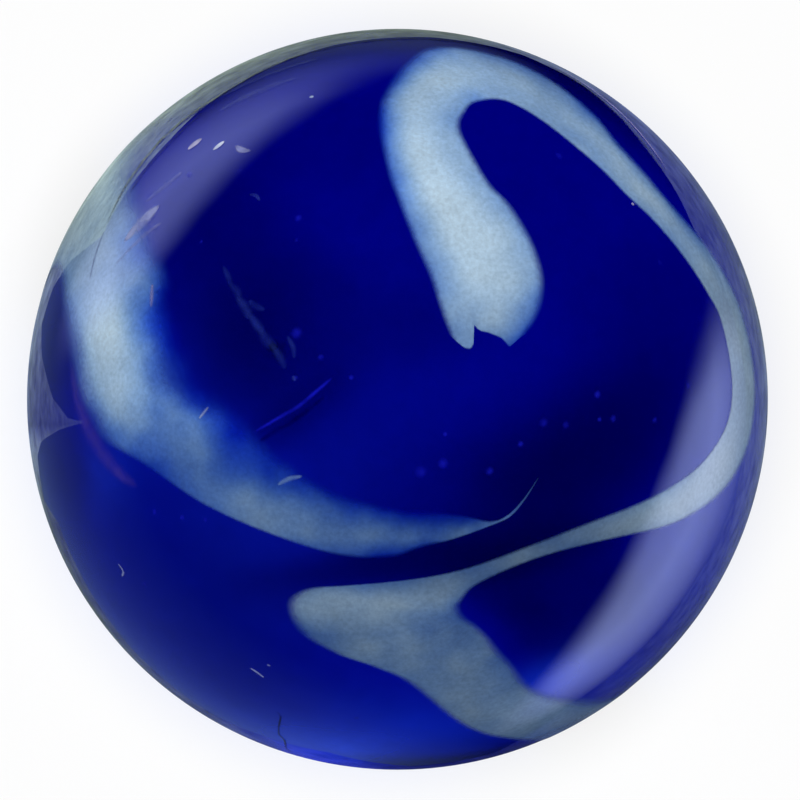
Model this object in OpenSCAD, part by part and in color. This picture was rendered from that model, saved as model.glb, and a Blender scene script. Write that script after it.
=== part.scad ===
// Glass marble: a ball of clear cobalt glass with one ribbon of opaque white glass folded
// into its skin. The two glasses are fused: they meet face to face and together make a
// true sphere. The origin is the centre of the ball.

/* [Ball] */
// Diameter of the finished marble
ball_d = 16; // [12:0.5:25]

/* [White ribbon] */
// Depth of the white glass along the middle of its wide stretches
ribbon_depth = 0.9; // [0.6:0.1:1.5]
// Depth of the white glass along the edges of its wide stretches
edge_depth = 0.25; // [0.15:0.05:0.4]
// Width, in degrees of arc, from which the ribbon has its full depth
full_depth_width = 18; // [12:1:24]

/* [Smoothness] */
// Rings of facets from one station of the ribbon to the next
rings_per_station = 4; // [2:1:5]
// Facets across the underside of the ribbon
facets_across = 4; // [3:1:6]

/* [Hidden] */

ball_r = ball_d / 2;
// Facets round the ball where it is drawn as a mesh
ball_facets = 160;
// The ribbon is lofted this far out of the ball, and the ball's surface trims it.
loft_r = ball_r * 1.1;
// The bite out of the ribbon's torn end goes this deep, which is right through it.
bite_depth = ribbon_depth * 2;

cobalt = [0.01, 0.03, 0.45];
opal = [0.74, 0.82, 0.88];

// The ribbon is laid out on two flat charts of the ball, in degrees of arc from the chart's
// middle: the top of the ball for the upper chart, and the bottom for the lower one. Both
// are seen from above. A station is [one edge x, y, other edge x, y].

// A fat limb with a torn end, which turns over in a hook.
hook = [
    [10, 7.5, 17.6, 7.6], [7, 12.5, 21.8, 13], [3.2, 25, 21.6, 25], [-0.8, 38, 14.6, 36],
    [-2.4, 51, 10.6, 46.5], [2.8, 64.3, 12.8, 52.2], [9, 68.5, 15.5, 52.9]
];
// A long arm, which narrows to a neck.
arm = [
    [24, 67.5, 23, 50.8], [37, 57, 32, 44.3], [46, 42, 41, 36.5], [51.5, 35.5, 46.5, 32],
    [63.5, 24, 57, 20.5], [68, 16, 60.8, 14], [72.3, -1, 62.5, -1], [66, -14, 56, -10.5],
    [52, -21, 44.5, -16.8], [34.5, -23, 31.5, -20]
];
// A foot, where the neck fans round its own crotch and leaves over the side.
foot = [
    [13.3, -29.3, 8, -27.5], [10.4, -33, -8, -29.4], [10.4, -34.2, -14.3, -30.3],
    [10.8, -35.3, -17.2, -33.2], [11.5, -36.5, -15.8, -37.8], [13, -38.3, -10.8, -42.3],
    [18, -45.5, 2.8, -49.5], [26.5, -54, 13, -62.5], [43, -62.5, 29, -75.5]
];
// One plain sweep across the underside.
underside = [
    [52, -57, 31, -69], [26, -40, 12, -54], [-8, -33, -14, -49], [-34, -17, -49, -32],
    [-45, 6, -66, -5], [-53, 30, -76, 19]
];
// A veil, which comes back up over the side and tapers to a wisp.
veil = [
    [-62, 57, -78, 34.5], [-47, 31, -62.5, 14.5], [-39, 8, -51, -5.5], [-31, -1.5, -42.5, -12],
    [-22, -9, -31, -17.3], [-12, -13.8, -19.5, -22], [-3, -16.5, -8, -25], [5, -17.6, 2.5, -23.3],
    [11, -18.8, 9.5, -21.4], [15.6, -18.6, 15.6, -19.4], [22, -12.4, 22.4, -12.8]
];
// The bite out of the torn end, which leaves a prong at each corner.
bite = [
    [11.6, 3, 19, 3], [11.6, 6.5, 18.2, 6.5], [11.6, 8.5, 16.4, 8.5], [11.4, 10, 13.6, 10],
    [11.2, 11.6, 11.4, 11.6]
];

// A chart point as a unit vector. The side is 1 for the upper chart and -1 for the lower one.
function on_ball(x, y, side) =
    let (away = norm([x, y]), turn = atan2(y, x))
    [sin(away) * cos(turn), sin(away) * sin(turn), side * cos(away)];

// A chart's stations as pairs of unit vectors.
function edges(stations, side) =
    [for (s = stations) [on_ball(s[0], s[1], side), on_ball(s[2], s[3], side)]];

function unit(v) = v / norm(v);

// A smooth curve from b to c at a share t of the way, where a and d are their neighbours.
function curve(a, b, c, d, t) = unit(
    b + t * (c - a) / 2
    + t ^ 2 * (2 * a - 5 * b + 4 * c - d) / 2
    + t ^ 3 * (3 * b - a - 3 * c + d) / 2
);

// The edge pairs with smooth ones added between them.
function smoothed(pairs, steps) =
    let (last = len(pairs) - 1)
    [
        for (i = [0 : last - 1], step = [0 : steps - 1])
            [for (edge = [0, 1]) curve(
                pairs[max(i - 1, 0)][edge], pairs[i][edge], pairs[i + 1][edge],
                pairs[min(i + 2, last)][edge], step / steps
            )],
        pairs[last]
    ];

function angle_between(a, b) = 2 * asin(norm(a - b) / 2);

// A share u of the way along the great circle from a to b, which lie an angle apart.
function along(a, b, angle, u) =
    (sin((1 - u) * angle) * a + sin(u * angle) * b) / sin(angle);

// A section of the loft: over the top outside the ball, and back through the glass.
function section(a, b, deep, shallow) =
    let (
        width = angle_between(a, b),
        share = min(width / full_depth_width, 1)
    )
    [
        for (u = [0, 0.5, 1]) loft_r * along(a, b, width, u),
        for (i = [facets_across : -1 : 0])
            let (u = i / facets_across)
            (ball_r - share * (shallow + (deep - shallow) * sin(180 * u))) * along(a, b, width, u)
    ];

// A closed solid through one section for each pair of edges.
module loft(pairs, deep, shallow) {
    sections = [for (p = pairs) section(p[0], p[1], deep, shallow)];
    sides = len(sections[0]);
    last = (len(sections) - 1) * sides;
    polyhedron(
        points = [for (s = sections) each s],
        faces = [
            [for (k = [0 : sides - 1]) k],
            [for (k = [sides - 1 : -1 : 0]) last + k],
            for (i = [0 : len(sections) - 2], k = [0 : sides - 1])
                let (
                    p = i * sides + k,
                    q = i * sides + (k + 1) % sides
                )
                each [[p, p + sides, q], [q, p + sides, q + sides]]
        ],
        convexity = 10
    );
}

// The white ribbon before the ball's surface trims it.
module ribbon() {
    difference() {
        loft(
            smoothed(
                concat(edges(concat(hook, arm, foot), 1), edges(underside, -1), edges(veil, 1)),
                rings_per_station
            ),
            ribbon_depth, edge_depth
        );
        loft(edges(bite, 1), bite_depth, bite_depth);
    }
}

module ball() {
    sphere(r = ball_r, $fn = ball_facets);
}

// The clear glass, with the ribbon's bed in its skin.
module blue_glass() {
    color(cobalt)
        difference() {
            ball();
            ribbon();
        }
}

// The opaque glass that fills the bed, flush with the ball.
module white_swirl() {
    color(opal)
        intersection() {
            ball();
            ribbon();
        }
}

blue_glass();
white_swirl();
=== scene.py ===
import math
import random
import bpy
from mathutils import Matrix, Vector, noise


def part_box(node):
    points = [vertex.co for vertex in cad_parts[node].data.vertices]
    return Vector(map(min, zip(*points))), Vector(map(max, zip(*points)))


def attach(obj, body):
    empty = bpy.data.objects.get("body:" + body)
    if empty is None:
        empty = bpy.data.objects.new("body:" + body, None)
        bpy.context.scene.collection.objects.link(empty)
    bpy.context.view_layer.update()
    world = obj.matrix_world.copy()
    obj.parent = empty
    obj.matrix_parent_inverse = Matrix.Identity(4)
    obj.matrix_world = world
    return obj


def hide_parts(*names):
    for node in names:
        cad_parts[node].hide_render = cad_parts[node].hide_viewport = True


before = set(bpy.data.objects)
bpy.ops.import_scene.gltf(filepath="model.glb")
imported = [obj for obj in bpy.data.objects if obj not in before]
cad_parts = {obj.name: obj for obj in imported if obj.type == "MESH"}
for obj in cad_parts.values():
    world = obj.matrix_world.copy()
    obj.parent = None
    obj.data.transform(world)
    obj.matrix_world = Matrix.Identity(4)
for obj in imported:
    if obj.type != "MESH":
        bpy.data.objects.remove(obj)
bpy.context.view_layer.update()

mm = 0.001
ballLow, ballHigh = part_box("blue_glass")
ballR = (ballHigh[0] - ballLow[0]) / 2
print("frame loaded, ball radius", round(ballR / mm, 3), "mm")


def deselectAll():
    bpy.ops.object.select_all(action="DESELECT")


def pickOnly(obj):
    deselectAll()
    obj.select_set(True)
    bpy.context.view_layer.objects.active = obj


def applyModifier(obj, kind, **settings):
    pickOnly(obj)
    mod = obj.modifiers.new(kind.lower(), kind)
    for name, value in settings.items():
        setattr(mod, name, value)
    bpy.ops.object.modifier_apply(modifier=mod.name)


def fromHex(code):  # sRGB hex to linear colour
    parts = [int(code[i:i + 2], 16) / 255 for i in (0, 2, 4)]
    return [c / 12.92 if c <= 0.04045 else ((c + 0.055) / 1.055) ** 2.4 for c in parts] + [1]


def addNode(tree, kind, settings=None, links=None):  # one node with its values and its wires
    node = tree.nodes.new(kind)
    for name, value in (settings or {}).items():
        if isinstance(name, int) or name in node.inputs:
            node.inputs[name].default_value = value
        else:
            setattr(node, name, value)
    for name, socket in (links or {}).items():
        tree.links.new(socket, node.inputs[name])
    return node


def alignFaces(obj):  # make neighbouring faces agree on which side is out
    pickOnly(obj)
    bpy.ops.object.mode_set(mode="EDIT")
    bpy.ops.mesh.select_all(action="SELECT")
    bpy.ops.mesh.normals_make_consistent(inside=False)
    bpy.ops.mesh.select_all(action="DESELECT")
    bpy.ops.object.mode_set(mode="OBJECT")


def clearBelow(mesh, name, radius):  # only the outer skin shows, and what is sunk in the glass is clear
    values = mesh.attributes[name].data
    for v in mesh.vertices:
        if v.co.length < radius:
            values[v.index].value = 0


def newMaterial(name):
    mat = bpy.data.materials.new(name)
    mat.use_nodes = True
    mat.node_tree.nodes.clear()
    return mat, mat.node_tree


def setAttribute(mesh, name, values, kind="FLOAT"):  # one value for each point of a mesh
    data = mesh.attributes.new(name, kind, "POINT").data
    data.foreach_set({"FLOAT": "value", "FLOAT_VECTOR": "vector", "FLOAT_COLOR": "color"}[kind], values)


def compass(turn, rise):  # direction from degrees round the axis and degrees above the horizon
    turn, rise = math.radians(turn), math.radians(rise)
    return Vector((math.cos(rise) * math.cos(turn), math.cos(rise) * math.sin(turn), math.sin(rise)))


def onBall(x, y, side=1):  # chart degrees from the upper pole, or from the lower one, to a direction
    away, turn = math.hypot(x, y), math.degrees(math.atan2(y, x))
    return compass(turn, side * (90 - away))


def onChart(d):  # the chart degrees of a direction, counted from the upper pole
    away, flat = math.degrees(math.acos(max(-1, min(1, d.z)))), math.hypot(d.x, d.y)
    return (away * d.x / flat, away * d.y / flat) if flat else (0, 0)


def alongTable(table, x):  # straight lines between the rows of a table
    row = table[-1]
    for low, high in zip(table, table[1:]):
        if x <= high[0]:
            t = (x - low[0]) / (high[0] - low[0])
            row = [a + (b - a) * t for a, b in zip(low, high)]
            break
    return row[1] if len(row) == 2 else row[1:]


def easeIn(x, low, high):  # 0 below low, 1 above high, smooth between
    t = min(max((x - low) / (high - low), 0), 1)
    return t * t * (3 - 2 * t)


# the camera, straight above the ball
view = {"height": 40 * ballR, "sensor": 36, "fill": 0.92625, "shiftX": 0.0032, "shiftY": -0.0009}
cam = bpy.data.objects.new("camera", bpy.data.cameras.new("camera"))
bpy.context.collection.objects.link(cam)
cam.location = (0, 0, view["height"])
cam.data.sensor_width = view["sensor"]
halfAngle = math.asin(ballR / view["height"])
cam.data.lens = view["sensor"] / 2 * view["fill"] / math.tan(halfAngle)
cam.data.shift_x = view["shiftX"]
cam.data.shift_y = view["shiftY"]
cam.data.clip_start = 0.01
bpy.context.scene.camera = cam
bpy.context.scene.view_settings.view_transform = "Standard"
print("camera set")

# the studio: a pale floor, one soft lamp above, and two low windows that only gloss sees
studio = {"floorR": 0.6, "lampHeight": 0.6, "lampSize": 0.2, "lampPower": 3.7,
          "floorLift": 0.7, "around": 0.5}

deselectAll()
bpy.ops.mesh.primitive_circle_add(
    vertices=96, radius=studio["floorR"], fill_type="NGON", location=(0, 0, ballLow[2]))
floor = bpy.context.object
floor.name = "floor"
floorMat, tree = newMaterial("paleFloor")
matt = addNode(tree, "ShaderNodeBsdfDiffuse", {"Color": fromHex("fafafa")})
lift = addNode(tree, "ShaderNodeEmission", {"Color": (1, 1, 1, 1), "Strength": 1})
path = addNode(tree, "ShaderNodeLightPath")
share = addNode(tree, "ShaderNodeMath", {"operation": "MULTIPLY", 1: studio["floorLift"]},
                {0: path.outputs["Is Camera Ray"]})
mix = addNode(tree, "ShaderNodeMixShader",
              links={0: share.outputs[0], 1: matt.outputs[0], 2: lift.outputs[0]})
addNode(tree, "ShaderNodeOutputMaterial", links={"Surface": mix.outputs[0]})
floor.data.materials.append(floorMat)
floor.visible_glossy = False

lampData = bpy.data.lights.new("overhead", "AREA")
lampData.shape = "DISK"
lampData.size = studio["lampSize"]
lampData.energy = studio["lampPower"]
lamp = bpy.data.objects.new("overhead", lampData)
lamp.location = (0, 0, studio["lampHeight"])
lamp.visible_glossy = False
lamp.visible_camera = False
lamp.visible_transmission = False
bpy.context.collection.objects.link(lamp)

# what the gloss mirrors: round patches (turn, rise, reach, softness), the depths at which they have
# died away and are whole, and their light
mirrored = {
    "rightWindow": {"patches": [(-23.5, -40, 32.5, 6), (-22, -25, 60, 20), (-60, -30, 59, 8)],
                    "fall": (-0.785, -0.46), "light": (1.62, 1.95, 3.25)},
    "leftWindow": {"patches": [(145, -46, 39.3, 7), (150, -22, 34, 24), (120, -30, 40, 6)],
                   "fall": (-0.75, -0.4), "light": (1.02, 1.2, 2.5)},
    "upperHaze": {"patches": [(97, -50, 13, 9)], "fall": (-0.3, -0.6), "light": (0.08, 0.11, 0.2)},
    "tableHaze": {"patches": [(211, -35, 44, 11)], "fall": (-0.05, -0.95), "light": (0.115, 0.175, 0.29)},
    "farTable": {"patches": [(355, -55, 12, 6)], "fall": (-0.5, -0.8), "light": (0.16, 0.22, 0.4)},
}
world = bpy.data.worlds.new("studio")
bpy.context.scene.world = world
world.use_nodes = True
world.node_tree.nodes.clear()
tree = world.node_tree
coords = addNode(tree, "ShaderNodeTexCoord")
height = addNode(tree, "ShaderNodeSeparateXYZ", links={0: coords.outputs["Generated"]})
sumUp = None
for name, source in mirrored.items():
    glow = addNode(tree, "ShaderNodeMapRange",
                   {"From Min": source["fall"][0], "From Max": source["fall"][1]},
                   {"Value": height.outputs["Z"]})
    for turn, rise, reach, soft in source["patches"]:
        towards = addNode(tree, "ShaderNodeVectorMath",
                          {"operation": "DOT_PRODUCT", 1: compass(turn, rise)},
                          {0: coords.outputs["Generated"]})
        edge = addNode(tree, "ShaderNodeMapRange",
                       {"interpolation_type": "SMOOTHSTEP",
                        "From Min": math.cos(math.radians(reach + soft)),
                        "From Max": math.cos(math.radians(reach - soft))},
                       {"Value": towards.outputs["Value"]})
        glow = addNode(tree, "ShaderNodeMath", {"operation": "MULTIPLY"},
                       {0: glow.outputs[0], 1: edge.outputs[0]})
    light = addNode(tree, "ShaderNodeVectorMath",
                    {"operation": "SCALE", 0: source["light"], "label": name},
                    {"Scale": glow.outputs[0]})
    sumUp = light if sumUp is None else addNode(tree, "ShaderNodeVectorMath", {"operation": "ADD"},
                                               {0: sumUp.outputs[0], 1: light.outputs[0]})
path = addNode(tree, "ShaderNodeLightPath")
behind = addNode(tree, "ShaderNodeMath", {"operation": "MULTIPLY", 1: studio["around"]},
                 {0: path.outputs["Is Transmission Ray"]})
seen = addNode(tree, "ShaderNodeMath", {"operation": "MAXIMUM"},
               {0: path.outputs["Is Camera Ray"], 1: behind.outputs[0]})
back = addNode(tree, "ShaderNodeBackground", {"Color": (1, 1, 1, 1)}, {"Strength": seen.outputs[0]})
glossOnly = addNode(tree, "ShaderNodeBackground",
                    links={"Color": sumUp.outputs[0], "Strength": path.outputs["Is Glossy Ray"]})
allRound = addNode(tree, "ShaderNodeAddShader", links={0: back.outputs[0], 1: glossOnly.outputs[0]})
addNode(tree, "ShaderNodeOutputWorld", links={"Surface": allRound.outputs[0]})
world.cycles_visibility.diffuse = False

# a card under the ball, seen only in its gloss, draws the pale rim in painted light and shade of the
# table round it, with a painted shadow of the ball in the middle: turn, radius in mm, shade, how blue (a
# painted blue caustic at turns of 250 to 272)
card = {"steps": 360, "lift": 0.02 * mm, "paint": (0.88, 1.13, 1.0), "speckle": 0.7 * mm, "middle": 0.06,
        "outline": [
            (0, 17, 0.34, 1.6), (15, 18, 0.36, 1.3), (30, 19, 0.27, 1.8), (40, 16.5, 0.27, 2.2),
            (46, 15.4, 0.26, 2.4), (52, 13.4, 0.25, 2.4), (56, 12.5, 0.22, 2.2), (60, 11.8, 0.26, 1.9),
            (70, 11, 0.24, 1.6), (80, 11.8, 0.28, 1), (90, 12.6, 0.34, 0.95), (100, 13.2, 0.38, 0.95),
            (110, 14.6, 0.5, 0.95), (118, 15.6, 0.58, 0.95), (125, 16.6, 0.76, 0.95), (131, 18, 0.86, 1),
            (139, 19, 1.04, 1), (143, 19.6, 1.04, 1), (151, 21, 0.76, 1), (157, 15, 0.42, 1.2),
            (162, 12.6, 0.43, 1.5), (168, 12, 0.38, 1.5), (173, 13.8, 0.37, 1.5), (180, 18.3, 0.35, 1.7),
            (183, 24, 0.34, 1.8), (184.2, 36, 0.42, 1.8), (185, 20, 0.38, 1.8), (186.5, 14, 0.44, 1.6),
            (189, 11.8, 0.42, 1.4), (196, 10.6, 0.22, 1.2), (200, 13, 0.18, 1.1), (220, 12, 0.17, 1),
            (240, 11.5, 0.15, 1.6), (250, 12.6, 0.1, 3.4), (259, 13.4, 0.05, 14), (266, 12, 0.03, 12),
            (272, 10.8, 0.02, 8), (285, 10.8, 0.02, 6), (300, 16.5, 0.05, 2.5), (312, 16.8, 0.09, 2),
            (320, 16.8, 0.13, 2), (330, 16.8, 0.19, 2), (345, 16, 0.29, 1.7), (360, 17, 0.34, 1.6)]}
deselectAll()
bpy.ops.mesh.primitive_circle_add(
    vertices=card["steps"], radius=1, fill_type="TRIFAN", location=(0, 0, 0))
cardSheet = bpy.context.object
cardSheet.name = "card"
shades = []
for v in cardSheet.data.vertices:
    turn = math.degrees(math.atan2(v.co.y, v.co.x)) % 360
    # painted light and shade of the table at this turn, and a painted blue caustic at turns of 250 to 272
    r, shade, blueAndCaustic = alongTable(card["outline"], turn)
    if v.co.length < 0.5:  # the middle, in the shade of the ball that stands on it
        shade = card["middle"]
    v.co = (v.co.x * r * mm, v.co.y * r * mm, ballLow[2] + card["lift"])
    shades += [shade * c for c in card["paint"][:2]] + [shade * card["paint"][2] * blueAndCaustic, 1]
setAttribute(cardSheet.data, "shade", shades, "FLOAT_COLOR")
cardMat, tree = newMaterial("cardOfPaintedLight")
coords = addNode(tree, "ShaderNodeTexCoord")
tone = addNode(tree, "ShaderNodeAttribute", {"attribute_name": "shade"})
speckle = addNode(tree, "ShaderNodeTexNoise", {"Scale": 1 / card["speckle"], "Detail": 3},
                  {"Vector": coords.outputs["Object"]})
# painted speckle in the card's painted light, so the mirrored rim is mottled
speckledLight = addNode(tree, "ShaderNodeMapRange",
               {"From Min": 0.3, "From Max": 0.7, "To Min": 0.65, "To Max": 1.3},
               {"Value": speckle.outputs[0]})
mixed = addNode(tree, "ShaderNodeVectorMath", {"operation": "SCALE"},
                {0: tone.outputs["Color"], "Scale": speckledLight.outputs[0]})
matt = addNode(tree, "ShaderNodeBsdfDiffuse", links={"Color": mixed.outputs[0]})
addNode(tree, "ShaderNodeOutputMaterial", links={"Surface": matt.outputs[0]})
cardSheet.data.materials.append(cardMat)
cardSheet.visible_camera = False
cardSheet.visible_diffuse = False
cardSheet.visible_transmission = False
cardSheet.visible_shadow = False
print("studio set")

# The ball is cobalt-blue soda-lime glass, rolled hot and fire polished: a clear gloss over a blue so
# deep that 16 mm of it lets through two fifths of the blue and next to no red or green.
glass = {"level": 6, "ior": 1.52, "density": 480, "tint": (0.14, 0.42, 0.91, 1), "blue": "1c46ff",
         "rippleSize": 3.0 * mm, "ripple": 0.02 * mm, "mottle": 0.7 * mm, "mostGlow": 0.9,
         "sway": 3, "swayBends": 4, "limbStarts": (60, 74), "limbEnds": (105, 120)}
# darker clouds in the blue: middle in chart degrees, half sizes, turn, how much of the light is left
clouds = [
    {"at": (30, -10), "size": (24, 12), "turn": 30, "left": 0.36},
    {"at": (-18, 9), "size": (14, 12), "turn": -35, "left": 0.58},
    {"at": (-33, 20), "size": (14, 18), "turn": 0, "left": 0.6},
    {"at": (-30, 38), "size": (14, 12), "turn": 40, "left": 0.8},
    {"at": (4, 12), "size": (9, 6), "turn": 20, "left": 0.78},
    {"at": (-17, -3), "size": (9, 3), "turn": 35, "left": 0.75},
    {"at": (6, -26), "size": (24, 5), "turn": 8, "left": 0.38},
    {"at": (31, -34), "size": (15, 12), "turn": 0, "left": 0.45},
    {"at": (-66, 9), "size": (6, 12), "turn": 0, "left": 0.6},
    {"at": (-64, -14), "size": (6, 9), "turn": 10, "left": 0.7},
    {"at": (9, -79), "size": (16, 5), "turn": 0, "left": 0.6},
    {"at": (-37, -39), "size": (30, 19), "turn": -48, "left": 0.74},
    {"at": (46, 14), "size": (15, 14), "turn": 0, "left": 0.74},
    {"at": (-12, 46), "size": (14, 12), "turn": 0, "left": 0.85},
    {"at": (9, -13), "size": (18, 8), "turn": 15, "left": 0.8},
    {"at": (-26, 3), "size": (8, 8), "turn": 0, "left": 0.8},
    {"at": (21, -39), "size": (8, 6), "turn": -45, "left": 0.75},
    {"at": (17, -33), "size": (7, 5), "turn": -30, "left": 0.75},
]
# painted light: a milky blue glow in the glass near the surface, standing in for light that comes through
# the ball: middle, half sizes, turn, strength
glowPatches = [
    {"at": (-16, -76), "size": (12, 7), "turn": -15, "amount": 0.55},
    {"at": (-2, -66), "size": (20, 10), "turn": 0, "amount": 0.38},
    {"at": (-42, -40), "size": (40, 26), "turn": 45, "amount": 0.12},
    {"at": (29, -51), "size": (8, 5), "turn": 40, "amount": 0.5},
    {"at": (50, -38), "size": (24, 10), "turn": 55, "amount": 0.1},
    {"at": (48, -59), "size": (6, 5), "turn": 0, "amount": 0.14},
    {"at": (-52, -13), "size": (7, 6), "turn": 40, "amount": 0.18},
    {"at": (-33, 6), "size": (9, 12), "turn": 20, "amount": 0.05},
]
# the glass near the widest line, in painted shade and light: turn, how much of the light is left (painted
# shade, darkest at turns of 55 to 124), how much painted milky glow (most at turns of 250 to 265)
limb = [
    (0, 0.95, 0.06), (30, 0.8, 0.04), (40, 0.7, 0), (55, 0.5, 0), (75, 0.4, 0), (100, 0.4, 0),
    (115, 0.42, 0), (124, 0.5, 0), (132, 0.8, 0), (150, 0.9, 0), (165, 0.65, 0), (176, 0.6, 0),
    (190, 0.65, 0), (200, 0.75, 0.02), (215, 0.9, 0.05), (240, 1, 0.15), (252, 1, 0.36), (262, 1, 0.42),
    (268, 0.95, 0.16), (276, 0.85, 0.1), (288, 0.8, 0.08), (300, 0.85, 0.08), (318, 0.9, 0.04),
    (330, 1, 0.1), (350, 1, 0.08), (360, 0.95, 0.06)]


def blobShare(x, y, blob, hard):  # 1 in the middle of a turned oval, 0 well outside it
    turn = math.radians(blob["turn"])
    dx, dy = x - blob["at"][0], y - blob["at"][1]
    u = (dx * math.cos(turn) + dy * math.sin(turn)) / blob["size"][0]
    v = (dy * math.cos(turn) - dx * math.sin(turn)) / blob["size"][1]
    return math.exp(-(u * u + v * v) ** hard * 0.7)


deselectAll()
bpy.ops.mesh.primitive_cube_add(size=2 * ballR)
ball = bpy.context.object
ball.name = "blueGlass"
applyModifier(ball, "SUBSURF", subdivision_type="SIMPLE", levels=glass["level"],
              render_levels=glass["level"])
applyModifier(ball, "CAST", cast_type="SPHERE", factor=1, use_radius_as_size=False, size=ballR)
bpy.ops.object.shade_smooth()
clearnessAndShade, paintedGlow = [], []
for v in ball.data.vertices:
    d = v.co.normalized()
    x, y = onChart(d)
    away, turn = math.hypot(x, y), math.degrees(math.atan2(y, x)) % 360
    sway = glass["sway"] * noise.noise(d * glass["swayBends"])
    # painted shade (less light left) and painted milky glow, by turn near the widest line
    left, glowShare = alongTable(limb, turn)
    nearLimb = easeIn(away, *glass["limbStarts"]) * (1 - easeIn(away, *glass["limbEnds"]))
    clear = 1 - (1 - left) * nearLimb
    for cloud in clouds:
        clear *= 1 - (1 - cloud["left"]) * blobShare(x + sway, y + sway, cloud, 1.5)
    clearnessAndShade.append(clear * clear)  # the shader tints with its root
    glowShare = glowShare * nearLimb + sum(m["amount"] * blobShare(x, y, m, 1) for m in glowPatches)
    paintedGlow.append(min(glowShare, glass["mostGlow"]))
setAttribute(ball.data, "clearnessAndShade", clearnessAndShade)
setAttribute(ball.data, "paintedGlow", paintedGlow)

glassMat, tree = newMaterial("cobaltGlass")
coords = addNode(tree, "ShaderNodeTexCoord")
clear = addNode(tree, "ShaderNodeAttribute", {"attribute_name": "clearnessAndShade"})
glowShare = addNode(tree, "ShaderNodeAttribute", {"attribute_name": "paintedGlow"})
mottle = addNode(tree, "ShaderNodeTexNoise",
                 {"Scale": 1 / glass["mottle"], "Detail": 5, "Roughness": 0.65},
                 {"Vector": coords.outputs["Object"]})
patchy = addNode(tree, "ShaderNodeMapRange",
                 {"From Min": 0.3, "From Max": 0.7, "To Min": 0.86, "To Max": 1.05},
                 {"Value": mottle.outputs[0]})
thinned = addNode(tree, "ShaderNodeMath", {"operation": "MULTIPLY"},
                  {0: clear.outputs["Fac"], 1: patchy.outputs[0]})
blue = addNode(tree, "ShaderNodeVectorMath", {"operation": "SCALE", 0: fromHex(glass["blue"])[:3]},
               {"Scale": thinned.outputs[0]})
# painted light: the painted glow turns that share of the glass from clear to lit blue
throughShare = addNode(tree, "ShaderNodeMath", {"operation": "SUBTRACT", 0: 1}, {1: glowShare.outputs["Fac"]})
ripple = addNode(tree, "ShaderNodeTexNoise", {"Scale": 1 / glass["rippleSize"], "Detail": 2},
                 {"Vector": coords.outputs["Object"]})
bump = addNode(tree, "ShaderNodeBump", {"Strength": 1, "Distance": glass["ripple"]},
               {"Height": ripple.outputs[0]})
clearGlass = addNode(tree, "ShaderNodeBsdfPrincipled", {"IOR": glass["ior"], "Roughness": 0.02},
                     {"Base Color": blue.outputs[0], "Transmission Weight": throughShare.outputs[0],
                      "Normal": bump.outputs[0]})
letBy = addNode(tree, "ShaderNodeBsdfTransparent", {"Color": (1, 1, 1, 1)})
path = addNode(tree, "ShaderNodeLightPath")
straight = addNode(tree, "ShaderNodeMath", {"operation": "MAXIMUM"},
                   {0: path.outputs["Is Shadow Ray"], 1: path.outputs["Is Diffuse Ray"]})
mix = addNode(tree, "ShaderNodeMixShader",
              links={0: straight.outputs[0], 1: clearGlass.outputs[0], 2: letBy.outputs[0]})
absorb = addNode(tree, "ShaderNodeVolumeAbsorption",
                 {"Color": glass["tint"], "Density": glass["density"]})
addNode(tree, "ShaderNodeOutputMaterial", links={"Surface": mix.outputs[0], "Volume": absorb.outputs[0]})
ball.data.materials.append(glassMat)
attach(ball, "root")
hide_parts("blue_glass")
print("ball made")

# Each station across the white ribbon: its left and right edge in chart degrees, how deep the blue lies
# over it at the left edge, where it is least and at the right edge, how bright its white is (which also
# holds painted shade, darker down the arm and on the foot), the width in degrees of its two soft edges,
# and how far across the least blue lies.
hook = [
    [9.2, 6.6, 18.6, 8.2, 1.2, 0.9, 6.0, 0.6, 0.8, 1.1, 0.4],
    [6.7, 12.5, 22.4, 13.4, 1.5, 0.5, 2.6, 0.66, 1.4, 1.9, 0.4],
    [4.6, 19, 23.5, 18.8, 1.7, 0.15, 1.3, 0.8, 1.6, 2.0, 0.38],
    [2.1, 25, 22.1, 25, 2.0, 0.1, 1.1, 0.86, 1.6, 2.0, 0.38],
    [-0.2, 31.5, 18.8, 31.4, 2.5, 0.05, 1.3, 0.96, 1.6, 2.0, 0.38],
    [-2.2, 38, 15, 36.1, 3.4, 0.15, 1.5, 0.97, 1.7, 1.9, 0.38],
    [-3.7, 50.8, 11.2, 45.4, 4.6, 0.35, 1.4, 1.0, 2.2, 1.7, 0.42],
    [1.6, 65.2, 12.1, 50.1, 3.0, 0.35, 1.3, 1.1, 3.0, 1.4, 0.5],
    [9, 72.3, 14.5, 52.9, 2.8, 0.35, 1.4, 1.18, 3.0, 1.2, 0.55],
]
arm = [
    [24.5, 69.8, 20.7, 53.5, 2.0, 0.55, 0.6, 1.06, 2.6, 1.0, 0.7],
    [37.5, 58.4, 31.9, 44.7, 3.2, 0.75, 1.0, 0.93, 3.0, 0.9, 0.6],
    [42.2, 49.8, 36.5, 40.5, 3.0, 0.75, 1.5, 0.9, 2.8, 0.9, 0.45],
    [47.3, 43.3, 40.6, 36.2, 3.0, 0.6, 1.0, 0.92, 2.4, 0.9, 0.6],
    [53.2, 36.6, 46.1, 31.7, 2.8, 0.6, 1.4, 0.85, 2.0, 0.9, 0.5],
    [65.5, 25.1, 56.7, 20.3, 2.0, 0.5, 0.8, 0.65, 2.2, 0.9, 0.6],
    [71, 16.8, 60.7, 14, 1.2, 0.5, 0.5, 0.58, 2.4, 0.9, 0.6],
    [74.2, -1, 62.5, -1, 1.0, 0.4, 0.2, 0.6, 2.6, 1.0, 0.7],
    [67.4, -14.5, 55.8, -10.2, 0.8, 0, 0.1, 0.6, 2.6, 1.0, 0.7],
    [52.3, -21.6, 44.2, -15.9, 0.2, 0, 0.8, 0.57, 1.5, 1.3, 0.4],
    [34.8, -23.5, 31.4, -19.7, 1.3, 0.9, 1.4, 0.33, 0.7, 0.9, 0.4],
    [22.8, -25.6, 20.8, -23.1, 1.8, 1.4, 1.9, 0.3, 0.6, 0.8, 0.4],
]
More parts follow.
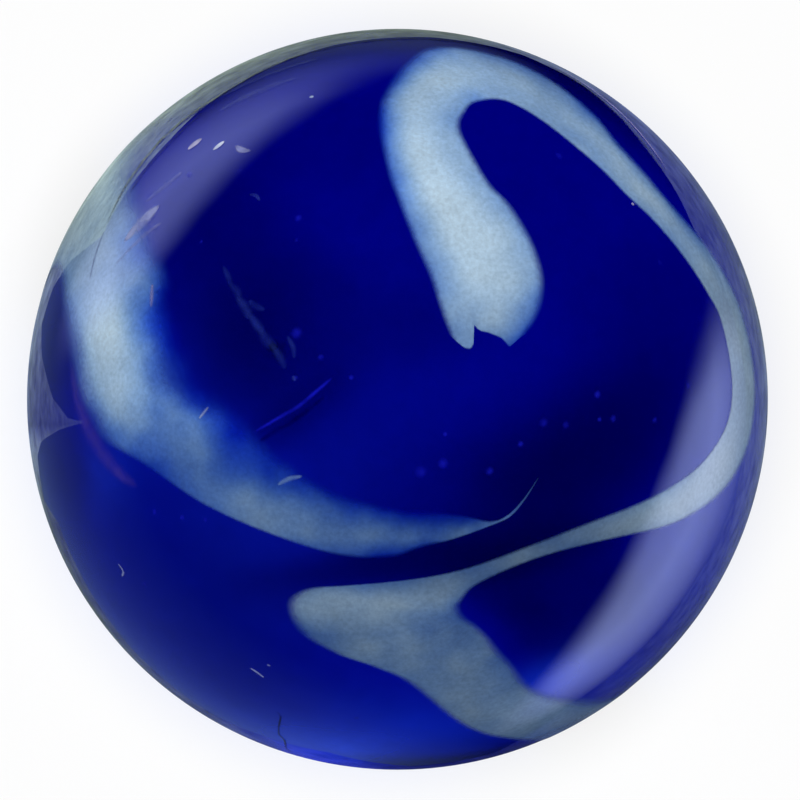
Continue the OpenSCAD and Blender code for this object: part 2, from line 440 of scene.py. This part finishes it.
foot = [
    [13.3, -29.4, 8, -27.2, 1.6, 1.1, 1.6, 0.32, 0.9, 0.8, 0.35],
    [10.6, -32.6, -8, -29.4, 1.9, 0.55, 1.9, 0.44, 1.6, 1.0, 0.4],
    [10.7, -34, -15, -30.3, 2.1, 0.4, 1.3, 0.45, 2.4, 2.0, 0.45],
    [11.5, -35.4, -18.3, -33.3, 2.2, 0.6, 0.9, 0.43, 2.2, 2.8, 0.6],
    [13.2, -36.8, -16.9, -38.6, 2.2, 1.2, 2.2, 0.39, 2.0, 2.8, 0.5],
    [15.5, -39.3, -10.8, -42.7, 2.0, 1.1, 1.4, 0.4, 2.0, 2.0, 0.5],
    [17.4, -41.9, -4, -45.5, 2.0, 1.05, 1.4, 0.41, 2.4, 1.6, 0.5],
    [20.2, -45.5, 2.4, -49.8, 2.0, 1.1, 1.6, 0.41, 2.0, 1.7, 0.55],
    [26.1, -52.8, 13, -62.6, 1.6, 0.8, 1.2, 0.48, 2.6, 1.5, 0.6],
    [43, -61.8, 29, -75.6, 1.8, 1.0, 1.4, 0.56, 4.0, 2, 0.5],
]
underside = [
    [52, -57, 31, -69, 0.9, 0.5, 0.8, 0.8, 2.0, 1.5, 0.5],
    [26, -40, 12, -54, 0.9, 0.3, 0.8, 0.95, 2.0, 1.5, 0.5],
    [-8, -33, -14, -49, 0.9, 0.2, 0.8, 1.0, 2.0, 1.5, 0.5],
    [-34, -17, -49, -32, 0.9, 0.3, 0.8, 1.0, 2.5, 1.5, 0.5],
    [-43, 8, -64, -8, 0.9, 0.4, 0.8, 1.0, 4.0, 2.0, 0.5],
    [-48, 38, -76, 14, 0.9, 0.4, 0.7, 0.9, 9.0, 3.0, 0.5],
]
veil = [
    [-55, 66, -85.5, 23, 1.4, 0.5, 0.9, 0.74, 12, 5, 0.5],
    [-48, 43, -80, 28, 2.2, 0.5, 1.6, 0.74, 9, 5, 0.5],
    [-37.5, 21.1, -73, 27.6, 4.6, 0.5, 1.4, 0.78, 6, 6, 0.45],
    [-37, 17, -68, 20.3, 5.8, 0.3, 2.1, 0.87, 5.5, 7, 0.47],
    [-34.5, 12, -63.3, 10.8, 9.8, 0.05, 2.1, 0.98, 8, 7.5, 0.54],
    [-29.8, 3.7, -59.8, 1, 7.4, 0.35, 2.2, 0.89, 14, 7.5, 0.63],
    [-25.8, 0.3, -56.3, -3.8, 7.2, 0.75, 2.4, 0.79, 12, 7.5, 0.7],
    [-22.4, -3.1, -52, -7.6, 7.8, 1.55, 2.9, 0.73, 7, 4.4, 0.54],
    [-19.6, -6.6, -42.6, -11.2, 7.2, 1.65, 3.9, 0.6, 4.5, 1.6, 0.64],
    [-15.5, -9.9, -31.5, -17.1, 7.3, 1.45, 2.0, 0.53, 3.5, 0.9, 0.78],
    [-10.1, -13.2, -20.3, -21.4, 7.0, 1.6, 2.1, 0.48, 2.8, 0.8, 0.78],
    [-4.9, -15.2, -9.5, -24.5, 6.4, 1.65, 3.2, 0.45, 2.2, 0.8, 0.6],
    [0.5, -16.5, -1.2, -24.9, 7.6, 1.9, 6.5, 0.42, 1.6, 1.2, 0.54],
    [5.5, -17, 3.5, -23.3, 6.2, 2.3, 6.0, 0.38, 1.2, 1.2, 0.6],
    [10.5, -17.8, 8.2, -22, 7.6, 1.9, 2.4, 0.34, 0.7, 0.6, 0.9],
    [14.5, -18.8, 13.7, -20.1, 2.9, 2.7, 2.3, 0.4, 0.6, 0.5, 0.5],
    [17.1, -18, 17.5, -18.5, 2.5, 2.4, 2.4, 0.42, 0.25, 0.25, 0.5],
    [19.5, -15.6, 19.85, -15.9, 2.5, 2.5, 2.5, 0.32, 0.17, 0.17, 0.5],
    [21.9, -12.2, 22.05, -12.3, 2.8, 2.8, 2.8, 0.18, 0.1, 0.1, 0.5],
]
# the torn end of the hook: share of the way across, and how far up the ribbon the tear runs in degrees
tear = [
    (0, 3.4), (0.06, 2), (0.13, 0.9), (0.2, 0.6), (0.25, 0.8), (0.28, 1.4), (0.3, 4.3), (0.36, 3.2),
    (0.48, 2.7), (0.66, 1.7), (0.82, 0.2), (0.86, 0), (0.93, 1.5), (1, 2.6)]
swirl = {"steps": 8, "across": 40, "proud": 0.008 * mm, "depth": 0.9 * mm, "thinnest": 0.03,
         "fullArc": 18, "tearReach": 9, "tearSoft": 0.5, "opal": "cbe4f6", "film": (0.867, 0.58, 0.5),
         "blueDepth": 2.3, "fuzziest": 9, "blotch": 0.5, "blotchSize": 1.1 * mm, "grain": 0.1 * mm,
         "cloud": 1.2 * mm, "streakAcross": 0.45 * mm, "streakAlong": 3.2 * mm}


def toStation(row, side):
    return [onBall(row[0], row[1], side), onBall(row[2], row[3], side)] + row[4:]


def curvePoint(a, b, c, d, t):  # a smooth curve through b and c
    p = b + t * (c - a) / 2 + t * t * (2 * a - 5 * b + 4 * c - d) / 2
    return (p + t ** 3 * (3 * b - a - 3 * c + d) / 2).normalized()


def smoothed(stations, steps):
    last = len(stations) - 1
    out = []
    for i in range(last):
        before, after = stations[max(i - 1, 0)], stations[min(i + 2, last)]
        here, there = stations[i], stations[i + 1]
        for step in range(steps):
            t = step / steps
            ends = [curvePoint(before[e], here[e], there[e], after[e], t) for e in (0, 1)]
            out.append(ends + [a + (b - a) * t for a, b in zip(here[2:], there[2:])])
    return out + [stations[last]]


def filmTint(cover):  # what is left of each colour after going down through the blue and back
    red, green, blue = swirl["film"]
    blueLost = blue * (1 - math.exp(-cover / swirl["blueDepth"]))  # deep blue gives some of its own back
    return [math.exp(-cover * red), math.exp(-cover * green), math.exp(-blueLost)]


stations = [toStation(row, 1) for row in hook + arm + foot]
stations += [toStation(row, -1) for row in underside]
stations += [toStation(row, 1) for row in veil]
rings = smoothed(stations, swirl["steps"])
rows, columns = len(rings) - 1, swirl["across"]
deselectAll()
bpy.ops.mesh.primitive_grid_add(x_subdivisions=columns, y_subdivisions=rows, size=1)
white = bpy.context.object
white.name = "whiteSwirl"
mesh = white.data
colours, fades, fuzz, flow = [], [], [], []
thick = white.vertex_groups.new(name="thick")
opal = fromHex(swirl["opal"])
run = 0
for i, ring in enumerate(rings):
    left, right, coverLeft, coverLeast, coverRight, tone, softLeft, softRight, leastAt = ring
    width = math.degrees(left.angle(right))
    ahead = rings[min(i + 1, rows)]
    run += (ahead[0] - left + ahead[1] - right).length / 2 * ballR
    fromEnd = math.degrees(ring[0].angle(rings[0][0]))
    for k in range(columns + 1):
        u = 0.5 - 0.5 * math.cos(math.pi * k / columns)
        d = left.slerp(right, u)
        shove = alongTable(tear, u) * max(0, 1 - fromEnd / swirl["tearReach"])
        if shove:
            onward = ahead[0].slerp(ahead[1], u) - d
            d = (d + onward.normalized() * math.radians(shove)).normalized()
        index = i * (columns + 1) + k
        mesh.vertices[index].co = d * (ballR + swirl["proud"])
        soft = softLeft if u < 0.5 else softRight
        away = (leastAt - u) / leastAt if u < leastAt else (u - leastAt) / (1 - leastAt)
        cover = coverLeast + ((coverLeft if u < leastAt else coverRight) - coverLeast) * away ** 2
        blotch = noise.fractal(d * (ballR / swirl["blotchSize"]), 1, 2, 3)
        tint = filmTint(cover * (1 + swirl["blotch"] * blotch))
        # painted shade: the station's tone also darkens the white down the arm and on the foot
        colours += [opal[c] * tone * tint[c] for c in range(3)] + [1]
        edge = min(u * width / softLeft, (1 - u) * width / softRight, 1)
        endFade = min((fromEnd + 0.02) / swirl["tearSoft"], 1) if i < swirl["steps"] * 2 else 1
        fades.append(min(edge, endFade))
        fuzz.append(min(soft / swirl["fuzziest"], 1))
        flow += [(u - 0.5) * math.radians(width) * ballR, run, 0]
        share = min(width / swirl["fullArc"], 1) * math.sin(math.pi * u)
        thick.add([index], max(share, swirl["thinnest"]), "REPLACE")
setAttribute(mesh, "opalColour", colours, "FLOAT_COLOR")
setAttribute(mesh, "edgeFade", fades)
setAttribute(mesh, "fuzz", fuzz)
setAttribute(mesh, "flow", flow, "FLOAT_VECTOR")
alignFaces(white)
middle = mesh.polygons[columns // 2 + columns * 10]  # a face well inside the ribbon
if middle.normal.dot(middle.center) < 0:
    mesh.flip_normals()
applyModifier(white, "SOLIDIFY", thickness=swirl["depth"], offset=-1, vertex_group="thick", use_rim=True)
bpy.ops.object.shade_smooth_by_angle(angle=math.radians(35))
clearBelow(mesh, "edgeFade", ballR - 0.01 * mm)

# Opal glass, a milky white laid on hot and rolled in, so it shares the ball's own polish. It is streaky
# along the way it was trailed, and thins out into the blue in wisps.
opalMat, tree = newMaterial("opalGlass")
coords = addNode(tree, "ShaderNodeTexCoord")
paint = addNode(tree, "ShaderNodeAttribute", {"attribute_name": "opalColour"})
fade = addNode(tree, "ShaderNodeAttribute", {"attribute_name": "edgeFade"})
fuzzy = addNode(tree, "ShaderNodeAttribute", {"attribute_name": "fuzz"})
trail = addNode(tree, "ShaderNodeAttribute", {"attribute_name": "flow"})
trailed = addNode(tree, "ShaderNodeVectorMath",
                  {"operation": "MULTIPLY", 1: (1 / swirl["streakAcross"], 1 / swirl["streakAlong"], 1)},
                  {0: trail.outputs["Vector"]})
streaks = addNode(tree, "ShaderNodeTexNoise", {"Scale": 1, "Detail": 4, "Roughness": 0.6},
                  {"Vector": trailed.outputs[0]})
grain = addNode(tree, "ShaderNodeTexNoise", {"Scale": 1 / swirl["grain"], "Detail": 4, "Roughness": 0.6},
                {"Vector": coords.outputs["Object"]})
cloudy = addNode(tree, "ShaderNodeTexNoise", {"Scale": 1 / swirl["cloud"], "Detail": 4},
                 {"Vector": coords.outputs["Object"]})
shades = None
for noiseNode, low, high in ((grain, 0.86, 1.12), (cloudy, 0.9, 1.06), (streaks, 0.97, 1.03)):
    part = addNode(tree, "ShaderNodeMapRange",
                   {"From Min": 0.3, "From Max": 0.7, "To Min": low, "To Max": high},
                   {"Value": noiseNode.outputs[0]})
    shades = part if shades is None else addNode(tree, "ShaderNodeMath", {"operation": "MULTIPLY"},
                                                 {0: shades.outputs[0], 1: part.outputs[0]})
shaded = addNode(tree, "ShaderNodeVectorMath", {"operation": "SCALE"},
                 {0: paint.outputs["Color"], "Scale": shades.outputs[0]})
# wisps eat into the fading edge: strongest half way out, and more where the edge is fuzzy
wisps = addNode(tree, "ShaderNodeMath", {"operation": "ADD"},
                {0: streaks.outputs[0], 1: cloudy.outputs[0]})
wispy = addNode(tree, "ShaderNodeMapRange",
                {"From Min": 0.7, "From Max": 1.3, "To Min": -0.35, "To Max": 0.35},
                {"Value": wisps.outputs[0]})
grainy = addNode(tree, "ShaderNodeMapRange",
                 {"From Min": 0.3, "From Max": 0.7, "To Min": -0.13, "To Max": 0.13},
                 {"Value": grain.outputs[0]})
wispShare = addNode(tree, "ShaderNodeMath", {"operation": "MULTIPLY"},
                    {0: wispy.outputs[0], 1: fuzzy.outputs["Fac"]})
eaten = addNode(tree, "ShaderNodeMath", {"operation": "ADD"},
                {0: wispShare.outputs[0], 1: grainy.outputs[0]})
rest = addNode(tree, "ShaderNodeMath", {"operation": "SUBTRACT", 0: 1}, {1: fade.outputs["Fac"]})
halfWay = addNode(tree, "ShaderNodeMath", {"operation": "MULTIPLY"},
                  {0: fade.outputs["Fac"], 1: rest.outputs[0]})
change = addNode(tree, "ShaderNodeMath", {"operation": "MULTIPLY"},
                 {0: eaten.outputs[0], 1: halfWay.outputs[0]})
edged = addNode(tree, "ShaderNodeMath", {"operation": "ADD"},
                {0: fade.outputs["Fac"], 1: change.outputs[0]})
alpha = addNode(tree, "ShaderNodeMapRange", {"interpolation_type": "SMOOTHSTEP"},
                {"Value": edged.outputs[0]})
shader = addNode(tree, "ShaderNodeBsdfPrincipled", {"Roughness": 0.02, "IOR": glass["ior"]},
                 {"Base Color": shaded.outputs[0], "Alpha": alpha.outputs[0]})
addNode(tree, "ShaderNodeOutputMaterial", links={"Surface": shader.outputs[0]})
mesh.materials.append(opalMat)
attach(white, "root")
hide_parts("white_swirl")
print("swirl made,", len(mesh.polygons), "faces")

# Small marks in the skin, where the glass was touched while hot and has been knocked since, and a few
# painted lines of reflection near the rim. Each lies along a line of chart degrees: its colour, how
# strongly it shows, its half width in degrees, how soft its edge is (0 crisp, 1 soft all over) and how it
# tapers (0 blunt, 1 leaf shaped).
marks = {"proud": 0.012 * mm, "thick": 0.02 * mm, "steps": 16, "across": 8, "speckle": 0.3 * mm,
         "tip": 0.12, "scattered": 44, "seedShade": "1a1ec8", "seedShow": 0.5, "seedWide": (0.4, 0.8)}
lines = [
    ("d2cde6", 0.85, 0.75, 0.4, 0.8,  # flakes off the skin
     [(-38.8, 46.1), (-37.4, 47.3), (-36.1, 48.2)]),
    ("e6f0ff", 0.95, 0.5, 0.3, 0.9, [(-33, 44.6), (-31, 46.3)]),
    ("9298c8", 0.75, 0.65, 0.4, 0.9, [(-28.6, 44.8), (-27.2, 43.5), (-25.4, 43)]),
    ("cfe6ff", 0.9, 0.4, 0.5, 0.5, [(-15.9, 54.5), (-15.1, 54.6)]),
    ("a3abd0", 0.62, 1.6, 0.6, 1, [(-49.6, 28.4), (-45.8, 31.8), (-42.2, 34.6)]),
    ("8f8fc8", 0.5, 0.5, 0.8, 0.5, [(-41.5, 19.6), (-41.3, 15.4)]),  # smears
    ("8a90c0", 0.35, 0.7, 1, 0.6, [(-51, 24), (-46, 28), (-41, 31)]),
    ("777fb8", 0.35, 0.8, 1, 0.6, [(-46, 36), (-42, 38.6), (-38.6, 41)]),
    ("5a68b0", 0.4, 1.2, 1, 0.6, [(-34, 55), (-27, 58.5), (-19, 61)]),
    ("4a58a4", 0.4, 0.9, 1, 0.6, [(-36, 59.5), (-26, 64), (-15, 67.5)]),
    ("2f3f9c", 0.5, 0.4, 0.6, 0.6, [(-24.6, 34), (-23.4, 33.7), (-22.6, 32.6)]),
    ("22328c", 0.42, 0.7, 1, 0.6,  # a trail of haze, in clots
     [(-28.2, 21.6), (-27, 19.4), (-26.4, 17.9)]),
    ("263690", 0.36, 0.9, 1, 0.6, [(-26.9, 18.6), (-25.4, 17), (-25, 15.3)]),
    ("263690", 0.4, 1.1, 1, 0.5, [(-25.4, 16.2), (-23.6, 14), (-23.2, 12.6)]),
    ("26389a", 0.36, 0.8, 1, 0.7, [(-23.4, 15.6), (-22.2, 14.6), (-20.6, 13.9)]),
    ("26389a", 0.4, 1.0, 1, 0.5, [(-23.2, 13.4), (-21.6, 11.2), (-20.8, 10.4)]),
    ("263690", 0.36, 1.2, 1, 0.6, [(-21.4, 11), (-20.2, 9), (-18.6, 7.9)]),
    ("22328c", 0.42, 0.9, 1, 0.6, [(-19.6, 8.6), (-18, 6.4), (-17.2, 4.6)]),
    ("22328c", 0.42, 0.6, 1, 0.6, [(-17, 9.8), (-16, 8), (-15.8, 6.2)]),
    ("3a4cae", 0.5, 0.45, 1, 0.5, [(-16, 3.6), (-15.6, 2.8)]),
    ("b8b4dc", 0.9, 0.35, 0.5, 0.4, [(41.6, 34.9), (42, 34.5)]),
    ("8793c6", 0.75, 0.3, 0.5, 0.4, [(-51.4, -30.2), (-50.6, -31.2), (-50.5, -32), (-51.1, -32.8)]),
    ("8f9cd0", 0.8, 0.28, 0.4, 0.6, [(-26.2, -47.8), (-25, -48.6), (-23.8, -49.7)]),  # a scratch
    ("6f7cc0", 0.7, 0.3, 0.6, 0.4, [(-22.8, -46.4), (-22.2, -46.6)]),
    ("03072e", 0.9, 0.22, 0.6, 0.1,  # a crack
     [(-22.7, -58.5), (-22.3, -60.6), (-22.9, -62.8), (-23.6, -65.5), (-24, -68.2), (-23.3, -70.2),
      (-23.8, -73.5), (-24.3, -76.8), (-23.4, -81)]),
    ("10189a", 0.6, 0.5, 0.9, 0.3, [(-12, -76.3), (-10.4, -76.9)]),
    ("060c3a", 0.85, 0.9, 0.5, 0.4, [(-41.9, -67.4), (-41.1, -68.6)]),
    ("7396cc", 0.55, 0.5, 0.8, 0.6, [(-18.6, -13.3), (-16.8, -12.3), (-14.6, -11.8)]),
    ("a8b8dc", 0.55, 0.3, 0.8, 0.5, [(-31.6, -3.1), (-29.9, -1.2)]),
    ("1519c4", 0.6, 0.45, 0.9, 0.4, [(-22.4, -5.2), (-18.5, -3), (-15, -1), (-12, 1.5), (-9.8, 3.3)]),
    ("00003c", 0.6, 0.7, 1, 0.5, [(-21.5, -6.6), (-18, -4.4), (-15, -2.6), (-11, 0.4)]),
    ("463aa4", 0.55, 2.2, 1, 0.5,  # the veil's edge, painted violet where the reflection lies over it
     [(-60.4, 7), (-59, 2), (-57, -2.6), (-54, -7.2), (-49.4, -11.8), (-44, -15)]),
    ("b9a8e6", 0.85, 0.45, 0.6, 0.4,  # painted reflection: a thin pale line along the inner edge of the rim's reflection
     [(34.2, 73.4), (40, 69.3), (44.7, 64), (48.9, 58.2), (54.4, 45.6)]),
    # painted reflection: the dark band just inside that pale line
    ("10064a", 0.8, 0.9, 0.8, 0.5, [(33, 71.6), (39, 67.4), (43.4, 62.2), (47.6, 56.4), (53, 44)]),
    ("050834", 0.85, 0.85, 0.8, 0.3,  # painted reflection: a dark band just inside the rim's reflection
     [(26.5, 72.8), (13.3, 75.3), (0, 75), (-12.8, 72.6), (-24.9, 68.3), (-34.6, 61.1), (-41.6, 56.7),
      (-47.7, 50.6), (-51.4, 44.4), (-53.5, 40.3), (-55.8, 32.3)]),
    # more of that painted dark band, further round the rim
    ("1c2460", 0.6, 0.5, 0.9, 0.4, [(-37.5, 56.5), (-44, 49.5), (-48.8, 43.4), (-51, 39)]),
    ("4c5a94", 0.4, 0.45, 1, 0.5, [(-55.8, 32.3), (-57, 27), (-57.4, 22)]),
]
seeds = [  # bubbles: place and half width in chart degrees
    (-7, 3.3, 0.5), (-15.5, 10.2, 1.1), (-15.5, 3.3, 0.5), (22.7, -3.6, 0.9), (19, -6.9, 0.6),
    (34.8, -3.1, 0.7), (32.3, -3.2, 0.5), (26.4, -4, 0.7), (6.9, -9.7, 1), (3.5, -11, 1.1),
    (14.2, -11, 0.8), (43, -3.5, 0.6), (50.6, 2.3, 0.6), (-37, 40, 0.7), (-27, 39, 0.5), (46, 24, 0.6)]


def layStrip(points, half, taper, lift):  # a thin strip on the ball, and each point's place in it
    deselectAll()
    steps, across = marks["steps"], marks["across"]
    bpy.ops.mesh.primitive_grid_add(x_subdivisions=across, y_subdivisions=steps, size=1)
    strip = bpy.context.object
    last, places = len(points) - 1, []
    for i in range(steps + 1):
        where = min(i / steps * last, last - 1e-6)
        n = int(where)
        ends = points[max(n - 1, 0)], points[n], points[n + 1], points[min(n + 2, last)]
        here = curvePoint(*ends, where - n)
        ahead = curvePoint(*ends, min(where - n + 0.01, 1)) - curvePoint(*ends, max(where - n - 0.01, 0))
        aside = here.cross(ahead).normalized()
        along = math.sin(math.pi * (0.02 + 0.96 * i / steps)) ** taper
        for k in range(across + 1):
            side = 2 * k / across - 1
            strip.data.vertices[i * (across + 1) + k].co = (
                (here + aside * math.radians(half) * along * side).normalized() * (ballR + lift))
            places.append((side, i / steps))
    return strip, places


rng = random.Random(7)
strips = []
for n in range(marks["scattered"]):
    d = Vector((rng.gauss(0, 1), rng.gauss(0, 1), rng.gauss(0, 1))).normalized()
    seeds.append((*onChart(d), rng.uniform(*marks["seedWide"])))
dots = [(marks["seedShade"], marks["seedShow"], half, 1, 0, (x, y)) for x, y, half in seeds]
for shade, show, half, soft, taper, path in lines + dots:
    isDot = isinstance(path, tuple)
    if isDot:
        middle = onBall(*path)
        aside = middle.orthogonal().normalized() * math.radians(half)
        points, lift = [middle - aside, middle + aside], marks["proud"] / 3
    else:
        points, lift = [onBall(x, y) for x, y in path], marks["proud"]
    strip, places = layStrip(points, half, taper, lift)
    tone = fromHex(shade)
    fades = []
    for side, along in places:
        edge = min((1 - abs(side)) / max(soft, 0.1), 1)
        tip = min(along / marks["tip"], (1 - along) / marks["tip"], 1)
        if isDot:
            edge, tip = 1 - math.hypot(side, 2 * along - 1), 1
        fades.append(show * easeIn(edge, 0, 1) * easeIn(tip, 0, 1))
    setAttribute(strip.data, "markColour", tone * len(places), "FLOAT_COLOR")
    setAttribute(strip.data, "markFade", fades)
    strips.append(strip)
deselectAll()
for strip in strips:
    strip.select_set(True)
bpy.context.view_layer.objects.active = strips[0]
bpy.ops.object.join()
skinMarks = bpy.context.object
skinMarks.name = "skinMarks"
mesh = skinMarks.data
alignFaces(skinMarks)
for face in mesh.polygons:  # separate marks can still face inward, and are turned one by one
    face.select = face.normal.dot(face.center) < 0
bpy.ops.object.mode_set(mode="EDIT")
bpy.ops.mesh.flip_normals()
bpy.ops.object.mode_set(mode="OBJECT")
applyModifier(skinMarks, "SOLIDIFY", thickness=marks["thick"], offset=-1, use_rim=True)
bpy.ops.object.shade_smooth_by_angle(angle=math.radians(35))
clearBelow(mesh, "markFade", ballR)

# Bruises, hairlines and seeds in the glass, and painted lines of reflection near the rim: each as glossy
# as the skin round it, and mottled, since the glass has flaked unevenly along the bruises.
markMat, tree = newMaterial("markedGlass")
coords = addNode(tree, "ShaderNodeTexCoord")
paint = addNode(tree, "ShaderNodeAttribute", {"attribute_name": "markColour"})
fade = addNode(tree, "ShaderNodeAttribute", {"attribute_name": "markFade"})
speckle = addNode(tree, "ShaderNodeTexNoise", {"Scale": 1 / marks["speckle"], "Detail": 3},
                  {"Vector": coords.outputs["Object"]})
broken = addNode(tree, "ShaderNodeMapRange",
                 {"From Min": 0.35, "From Max": 0.65, "To Min": 0.5, "To Max": 1.1},
                 {"Value": speckle.outputs[0]})
alpha = addNode(tree, "ShaderNodeMath", {"operation": "MULTIPLY", "use_clamp": True},
                {0: fade.outputs["Fac"], 1: broken.outputs[0]})
shader = addNode(tree, "ShaderNodeBsdfPrincipled", {"Roughness": 0.02, "IOR": glass["ior"]},
                 {"Base Color": paint.outputs["Color"], "Alpha": alpha.outputs[0]})
addNode(tree, "ShaderNodeOutputMaterial", links={"Surface": shader.outputs[0]})
mesh.materials.append(markMat)
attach(skinMarks, "root")
print("marks made,", len(mesh.polygons), "faces")
